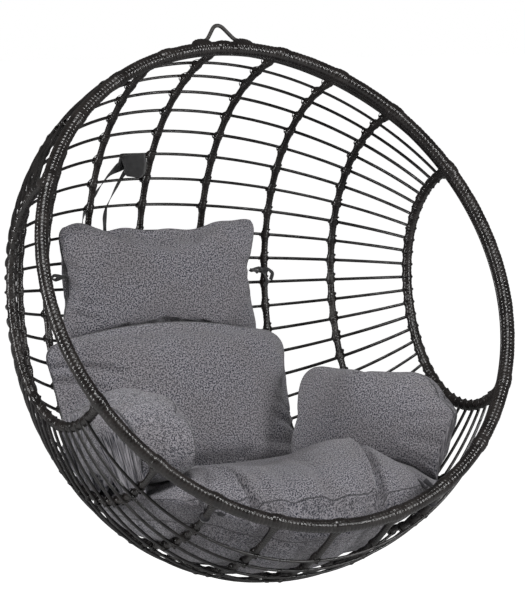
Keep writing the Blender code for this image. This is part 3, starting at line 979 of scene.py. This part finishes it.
def pressed(points, lift):
    """Points, from the hoop's centre, kept inside the cage and clear of the opening they leave by.

    The opening's limit is soft, so that cloth pushed past it keeps some thickness: a radius s
    times the limit becomes s / (1 + s^24)^(1/24).
    """
    local = points @ AXES.T
    x, v, m = local.T
    turn = np.arcsin(np.clip(x / HOOP_R, -1, 1)) / RIB_STEP
    limit = CAGE_FILL + 0.016 * (0.5 - 0.5 * np.cos(2 * np.pi * turn))
    radius = np.hypot(v, m) / reach(np.arctan2(np.maximum(m, 1e-6), v))
    used = np.hypot(x / HOOP_R, radius)
    local = local * np.minimum(1, limit / used)[:, None]
    rise = local[:, 2] * math.tan(math.radians(lift))
    opening = np.hypot(local[:, 0], local[:, 1] + rise)
    share = (1 + (opening / MOUTH) ** 24) ** (-1 / 24)
    local[:, 1] = (local[:, 1] + rise) * share - rise
    local[:, 0] *= share
    return local @ AXES


def in_place(points, centre, across, up, front, lift=25.0):
    """Cover's own axes turned to the chair's, moved to its centre and pressed into the cage."""
    return pressed(np.array(centre) + points @ np.array([across, up, front]), lift) + HOOP_CENTRE


def finish_cushion(name, points, faces, cuts, seam, body, node, fill, neighbours=()):
    """Mesh with its cut places and seam distances, moved off its neighbours and smoothed once."""
    obj = put_mesh(name, points, faces)
    place = obj.data.attributes.new("cut_place", "FLOAT_VECTOR", "POINT")
    place.data.foreach_set("vector", np.asarray(cuts, np.float32).ravel())
    distance = obj.data.attributes.new("seam_distance", "FLOAT", "POINT")
    distance.data.foreach_set("value", np.asarray(seam, np.float32))
    for other in neighbours:
        wrap = obj.modifiers.new("off_" + other.name, "SHRINKWRAP")
        wrap.target, wrap.wrap_mode, wrap.offset = other, "OUTSIDE", 0.0012
        wrap.wrap_method = "NEAREST_SURFACEPOINT"
        bpy.context.view_layer.objects.active = obj
        bpy.ops.object.modifier_apply(modifier=wrap.name)
    soft = obj.modifiers.new("soft", "SUBSURF")
    soft.levels = soft.render_levels = 1
    return keep(obj, body, "cushion_fabric", MIXTURE_CLOTH, node)


def leaning(degrees):
    """Across, up and front directions of a panel that faces the front with its top tipped back."""
    s, c = math.sin(math.radians(degrees)), math.cos(math.radians(degrees))
    return (1.0, 0.0, 0.0), (0.0, s, c), (0.0, -c, s)


print("covers are pressed into the cage")

# %% [markdown]
# ## Seat cushion
# The seat is boxed, deep and overstuffed, with its crown split into lumps by a few deep creases
# that run in from the front seam. The lumps come from the fill, so they are smooth bumps added to
# the filled cover; the creases are pressed in afterwards, since the run would blow them out.

# %% Seat
cover = sewn_cover(0.370, 0.245, 0.120, 0.0075, lambda d: 3.2 + 0 * d, 0.045)
seat = blown_up(cover[0], cover[1], cover[3], 16, 3.0, 0.05, 0.020)
seat = fitted(seat, (0.375, 0.250, 0.124))
lump = [(0.14, -0.07, 0.10, 0.034), (-0.20, -0.13, 0.07, 0.012), (-0.04, 0.00, 0.12, -0.024),
        (0.28, -0.12, 0.07, -0.014), (-0.31, -0.02, 0.10, -0.034), (-0.09, -0.14, 0.05, 0.004)]
above = np.clip(seat[:, 2] / 0.05, 0, 1)
for x, y, wide, high in lump:
    seat[:, 2] += above * high * np.exp(-((seat[:, 0] - x) ** 2 + (seat[:, 1] - y) ** 2) / wide ** 2)
seat = creased(seat, [((-0.135, -0.32), (-0.165, -0.10), 0.046, 0.008),
                      ((0.120, -0.32), (0.190, -0.02), 0.042, 0.008),
                      ((-0.06, -0.26), (-0.07, -0.12), 0.008, 0.016),
                      ((0.03, -0.26), (0.02, -0.08), 0.009, 0.015),
                      ((0.06, -0.06), (0.03, 0.03), 0.006, 0.012),
                      ((-0.24, -0.24), (-0.20, -0.08), 0.012, 0.012),
                      ((0.26, -0.24), (0.24, -0.10), 0.012, 0.011)])
above = np.clip(seat[:, 2] / 0.05, 0, 1)
seat[:, 2] -= 0.020 * above * np.clip((seat[:, 1] + 0.08) / 0.22, 0, 1)
front = np.clip(-(seat[:, 1] + 0.20) / 0.04, 0, 1) * np.exp(-(seat[:, 2] / 0.075) ** 2)
for x, depth, width in ((-0.150, 0.016, 0.012), (0.120, 0.016, 0.012), (-0.02, 0.005, 0.02),
                        (0.24, 0.007, 0.015), (-0.25, 0.007, 0.015)):
    seat[:, 1] += front * depth * np.exp(-((seat[:, 0] - x) / width) ** 2)
seat = in_place(seat, (0.0, 0.075, -0.466), (1, 0, 0), (0, 1, 0), (0, 0, 1))
seat_cushion = finish_cushion("stuffed_seat", seat, *cover[1:],
                              "cushion_set", "seat_cushion", 0.75)
print("seat:", len(seat), "points")

# %% [markdown]
# ## Arm cushions
# Each arm is a D-shaped pad against the side of the cage, its lower edge on the seat. One shape
# could be mirrored, but the right one is a flat pad with a gathered rim and the left one is
# stuffed until it is nearly a bolster, so each is cut and filled by itself. They share a function
# for the outline and one that turns a pad to its side of the chair.

# %% Arms
def arm_outline(direction):
    """Rounded square that is squarer at the back and below, and a wide round at the top front."""
    return 5.0 - 2.9 * np.exp(-((direction - 0.65) / 0.80) ** 2)


def arm_place(points, side, centre, plan_degrees, lean_degrees):
    """Arm cover turned so that its length runs to the front and its face looks into the chair."""
    plan, lean = math.radians(plan_degrees), math.radians(lean_degrees)
    to_front = np.array([side * math.sin(plan), -math.cos(plan), 0.0])
    outward = np.array([side * math.cos(plan), math.sin(plan), 0.0])
    arm_up = outward * math.sin(lean) + np.array([0, 0, math.cos(lean)])
    arm_in = side * np.cross(to_front, arm_up)
    return in_place(points, centre, to_front, arm_up, arm_in)


cover = sewn_cover(0.206, 0.110, 0.020, 0.0062, arm_outline, 0.055)
arm = blown_up(cover[0], cover[1], cover[3], 18, 3.5, 0.07, 0.022)
arm = fitted(arm, (0.208, 0.112, 0.076))
gather = np.exp(-(cover[3] / 0.030) ** 2) * np.clip(arm[:, 2] / 0.02, 0, 1)
round_way = np.arctan2(arm[:, 1] / 0.112, arm[:, 0] / 0.208)
arm[:, 2] += 0.0026 * gather * np.sin(46 * round_way) * (np.abs(round_way) < 1.4)
arm = creased(arm, [((0.10, 0.105), (0.055, 0.035), 0.004, 0.010),
                    ((0.19, 0.03), (0.09, 0.00), 0.006, 0.012),
                    ((0.20, -0.04), (0.10, -0.03), 0.006, 0.011),
                    ((0.165, 0.075), (0.09, 0.03), 0.005, 0.010)])
arm[:, 2] += 0.030 * (arm[:, 0] / 0.208) ** 2
high = np.clip(arm[:, 1] / 0.112, 0, 1)
arm[:, 1] -= 0.046 * high * np.clip((arm[:, 0] - 0.05) / 0.158, 0, 1) ** 1.4
arm[:, 1] += 0.007 * high * np.exp(-((arm[:, 0] + 0.04) / 0.05) ** 2)
arm[:, 1] -= 0.007 * high * np.exp(-((arm[:, 0] + 0.13) / 0.04) ** 2)
arm = arm_place(arm, 1, (0.326, 0.140, -0.308), 21, 14)
arm_right = finish_cushion("stuffed_arm_right", arm, *cover[1:],
                           "cushion_set", "arm_cushion_right", 0.7, [seat_cushion])
print("right arm:", len(arm), "points")

# %% [markdown]
# The left arm has a deep boxing, and its outline is the same above and below. Its outer panel is
# drawn in to suit the curve of the cage, its lower half is made shallower where it meets the
# seat, and its top slopes down to the rear.

# %% Left arm
cover = sewn_cover(0.208, 0.104, 0.110, 0.0064, lambda d: arm_outline(np.abs(d)), 0.040)
arm = blown_up(cover[0], cover[1], cover[3], 18, 3.5, 0.06, 0.022)
arm = fitted(arm, (0.215, 0.110, 0.098))
arm = creased(arm, [((0.22, 0.09), (0.10, 0.05), 0.008, 0.010),
                    ((0.22, -0.03), (0.12, -0.02), 0.006, 0.012),
                    ((0.05, 0.12), (0.00, 0.04), 0.007, 0.012),
                    ((-0.10, 0.12), (-0.06, 0.05), 0.006, 0.012)])
outer = np.clip(-arm[:, 2] / 0.098, 0, 1)[:, None]
arm[:, :2] *= 1 - 0.20 * outer
arm[:, 1] = np.where(arm[:, 1] < 0, 0.70 * arm[:, 1], arm[:, 1])
rear = np.clip(-arm[:, 0] / 0.215, 0, 1)
arm[:, 1] -= 0.050 * rear ** 1.3 * np.clip(arm[:, 1] / 0.110 + 0.3, 0, 1)
arm = arm_place(arm, -1, (-0.286, 0.108, -0.314), 4, 6)
arm_left = finish_cushion("stuffed_arm_left", arm, cover[1][:, ::-1], *cover[2:],
                          "cushion_set", "arm_cushion_left", 0.7, [seat_cushion])
print("left arm:", len(arm), "points")

# %% [markdown]
# ## Back cushion
# A wide pad with an arched top and a narrow boxing, leaning on the cage and bent round it. Its
# ends are caught behind the arms, which pulls short folds out of both lower corners.

# %% Back
cover = sewn_cover(0.268, 0.162, 0.030, 0.0066, lambda d: 10.0 + 0 * d, 0.032)
back = blown_up(cover[0], cover[1], cover[3], 18, 3.5, 0.06, 0.022)
back = fitted(back, (0.278, 0.168, 0.066))
back = creased(back, [((-0.26, 0.10), (-0.13, 0.05), 0.016, 0.008),
                      ((-0.27, 0.07), (-0.15, 0.00), 0.014, 0.008),
                      ((-0.24, 0.12), (-0.18, 0.09), 0.008, 0.006),
                      ((0.272, -0.075), (0.19, -0.05), 0.014, 0.008),
                      ((0.272, -0.045), (0.20, -0.01), 0.010, 0.007),
                      ((0.250, -0.110), (0.14, -0.10), 0.007, 0.010)])
top_share = np.clip(back[:, 1] / 0.168, 0, 1)
back[:, 1] -= top_share * 0.040 * (np.abs(back[:, 0]) / 0.278) ** 2
back[:, 2] -= 0.035 * (back[:, 0] / 0.278) ** 2
back = in_place(back, (-0.010, 0.400, -0.263), *leaning(17))
back_cushion = finish_cushion("stuffed_back", back, *cover[1:], "cushion_set",
                              "back_cushion", 0.75, [seat_cushion, arm_left, arm_right])
print("back:", len(back), "points")

# %% [markdown]
# ## Head pillow
# A plain knife-edge pillow: two rectangles sewn together and stuffed, so that its sides pull in
# between four pointed corners. It hangs from its ties, so only the cage and the back cushion
# limit it.

# %% Pillow
cover = sewn_cover(0.232, 0.130, 0.0, 0.0060, lambda d: 14.0 + 0 * d, 0.020)
pillow = blown_up(cover[0], cover[1], cover[3], 22, 3.5, 0.04, 0.034)
pillow = fitted(pillow, (0.230, 0.126, 0.050))
pillow = creased(pillow, [((-0.20, 0.115), (-0.16, 0.085), 0.007, 0.006),
                          ((0.222, 0.025), (0.15, 0.030), 0.006, 0.008),
                          ((0.222, 0.015), (0.16, -0.02), 0.005, 0.008),
                          ((-0.215, -0.03), (-0.16, -0.05), 0.005, 0.009),
                          ((-0.215, -0.06), (-0.15, -0.075), 0.005, 0.008)])
edge = np.clip(pillow[:, 1] / 0.124, 0, 1) ** 2
bow = 1.0 - (pillow[:, 0] / 0.230) ** 2
pillow[:, 1] += 0.009 * bow * np.sign(pillow[:, 1]) * np.clip(np.abs(pillow[:, 1]) / 0.1, 0, 1) ** 2
pillow[:, 1] += edge * (0.004 * np.sin(pillow[:, 0] * 62.0) - 0.004 * np.sin(pillow[:, 0] * 27.0 + 0.8))
pillow = in_place(pillow, (0.0, 0.500, -0.027), *leaning(4), lift=10.0)
finish_cushion("stuffed_head_pillow", pillow, *cover[1:], "head_pillow",
               "head_pillow", 0.65, [back_cushion])
print("pillow:", len(pillow), "points")

# %% [markdown]
# ## Floor and studio light
# The chair hangs clear of a plain pale floor that runs back without a join. A few broad lamps do
# what a white studio does: one tall strip each side of the camera puts the row of bright dots
# along the bound hoop, and a wide one overhead lights the cushions.

# %% Floor
FLOOR_HALF, FLOOR_DROP = 60.0, 0.42
floor_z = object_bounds()[0].z - FLOOR_DROP
corners = FLOOR_HALF * np.array([(-1, -1, 0), (1, -1, 0), (1, 1, 0), (-1, 1, 0)])
floor = put_mesh("floor", corners + [0, 0, floor_z], np.array([[0, 1, 2, 3]]))
paper, tree, shader = new_material("pale_paper", Roughness=0.95, Emission_Strength=0.95)
place = add(tree, "ShaderNodeTexCoord").outputs["Object"]
mottle = use_group(tree, patches, Place=place, Size=2.0)
paper_tone = mix_colour(tree, mottle["Patch"], (0.62, 0.62, 0.62, 1), (0.66, 0.66, 0.66, 1))
feed(tree, shader, "Base Color", paper_tone)
feed(tree, shader, "Emission Color", add(tree, "ShaderNodeLightPath").outputs["Is Camera Ray"])
floor.data.materials.append(paper)
print("floor at z = %.2f m" % floor_z)

# %% Lights
world = bpy.data.worlds.new("white_studio")
bpy.context.scene.world = world
world.use_nodes = True
tree = world.node_tree
sky = tree.nodes["Background"]
sky.inputs["Color"].default_value = (1, 1, 1, 1)
seen = add(tree, "ShaderNodeLightPath").outputs["Is Camera Ray"]
tree.links.new(remap(tree, seen, 0.0, 1.0, 0.115, 1.0), sky.inputs["Strength"])
bpy.context.scene.view_settings.view_transform = "Standard"


def softbox(name, place, size, power):
    """Rectangular lamp at a place given from the hoop's centre, turned to face it."""
    data = bpy.data.lights.new(name, "AREA")
    data.shape, data.size, data.size_y, data.energy = "RECTANGLE", size[0], size[1], power
    lamp = bpy.data.objects.new(name, data)
    lamp.location = Vector(place) + Vector(HOOP_CENTRE)
    lamp.rotation_mode = "QUATERNION"
    lamp.rotation_quaternion = (-Vector(place)).to_track_quat("-Z", "Y")
    bpy.context.scene.collection.objects.link(lamp)


softbox("strip_left", (-3.30, 0.55, 0.55), (0.22, 1.5), 72)
softbox("strip_right", (1.75, -2.95, 0.60), (0.22, 1.5), 76)
softbox("overhead", (-1.05, -1.75, 2.60), (1.5, 0.5), 84)

# %% [markdown]
# ## Camera
# The camera stands to the left of the front and a little above, far off with a long lens, so the
# hoop stays nearly round. It is moved sideways rather than turned, to keep the view's own frame.

# %% Camera
CAMERA_AZIMUTH, CAMERA_RISE, CAMERA_DISTANCE = math.radians(-29.6), math.radians(4.2), 9.033
SENSOR, LENS_TO_FRAME = 36.0, 7.677
SLIDE_LEFT, SLIDE_DOWN = 0.0342, 0.0344

to_camera = Vector((math.sin(CAMERA_AZIMUTH) * math.cos(CAMERA_RISE),
                    -math.cos(CAMERA_AZIMUTH) * math.cos(CAMERA_RISE), math.sin(CAMERA_RISE)))
camera_right = Vector((0, 0, 1)).cross(to_camera).normalized()
camera_up = to_camera.cross(camera_right)
camera_data = bpy.data.cameras.new("camera")
camera_data.sensor_width = SENSOR
camera_data.lens = SENSOR * LENS_TO_FRAME
camera = bpy.data.objects.new("camera", camera_data)
bpy.context.scene.collection.objects.link(camera)
camera.location = (Vector(HOOP_CENTRE) + to_camera * CAMERA_DISTANCE
                   - camera_right * SLIDE_LEFT - camera_up * SLIDE_DOWN)
camera.rotation_mode = "QUATERNION"
camera.rotation_quaternion = to_camera.to_track_quat("Z", "Y")
bpy.context.scene.camera = camera
print("camera lens %.0f mm at %.2f m" % (camera_data.lens, CAMERA_DISTANCE))
